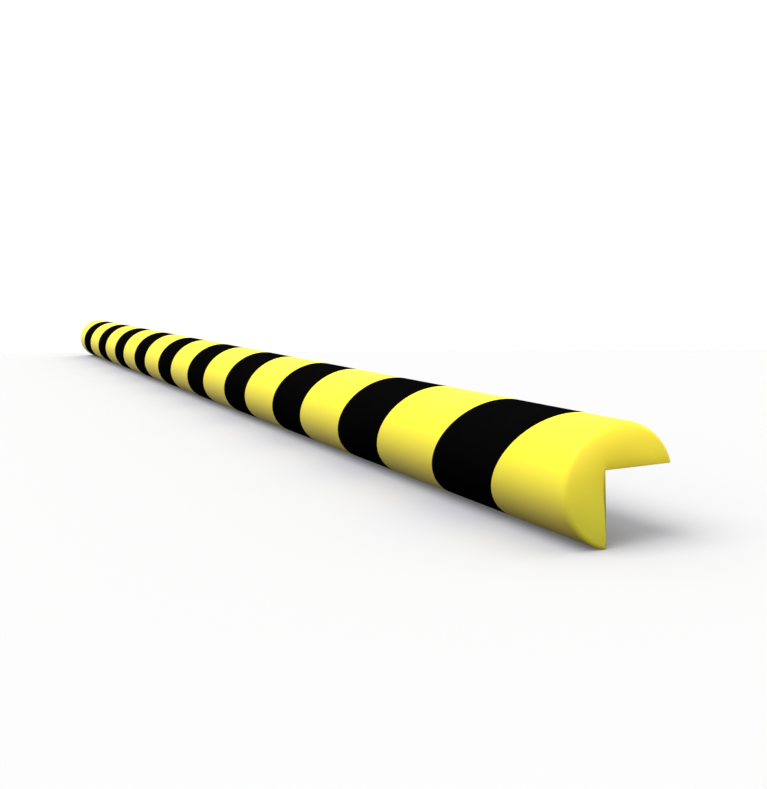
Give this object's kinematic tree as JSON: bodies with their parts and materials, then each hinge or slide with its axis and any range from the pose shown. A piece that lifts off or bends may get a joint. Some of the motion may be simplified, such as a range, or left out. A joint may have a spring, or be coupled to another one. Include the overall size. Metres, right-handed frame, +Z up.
{
  "type": "impact protection strip",
  "caption": "Straight moulded foam strip with a round outside and a square notch that goes over an edge, yellow with black warning bands that lean round it.",
  "frame": {"origin": "on the line where the two walls of the notch meet, halfway along the strip", "axes": "+X along the strip to its near end, +Y along the wall under the upper leg towards that leg's tip, +Z up along the wall of the lower leg, so the lower leg points down"},
  "size_m": [1, 0.0388, 0.0388],
  "materials": {
    "yellow_foam": "matt moulded skin",
    "black_print": "matt"
  },
  "bodies": {
    "root": {"foam_profile": "yellow_foam", "black_bands": "black_print"}
  },
  "joints": []
}
